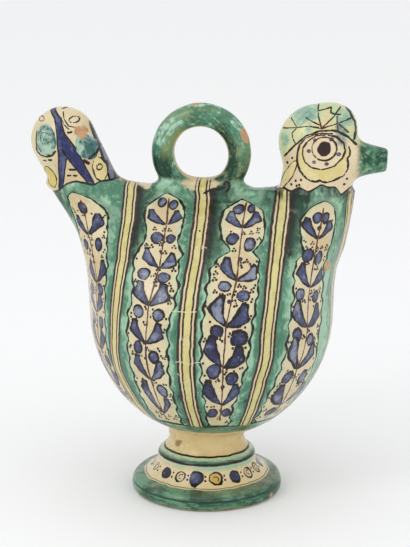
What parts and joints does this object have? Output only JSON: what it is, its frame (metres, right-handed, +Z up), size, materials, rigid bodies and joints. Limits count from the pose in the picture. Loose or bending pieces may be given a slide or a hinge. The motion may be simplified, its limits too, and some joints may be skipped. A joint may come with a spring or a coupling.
{
  "type": "zoomorphic_jug",
  "caption": "Glazed earthenware jug in the shape of a bird, with a ring handle on its back, a beak for a spout and a turned pedestal foot",
  "frame": {"origin": "middle of the standing ring under the foot, which is also the middle of the overall length and depth", "axes": "+Z up through the foot and body, +X towards the beak, +Y towards the shoulder with the filling mouth"},
  "size_m": [0.2824, 0.1932, 0.3182],
  "materials": {
    "glazed_ceramic": "gloss"
  },
  "bodies": {
    "root": {"jug": "glazed_ceramic"}
  },
  "joints": []
}
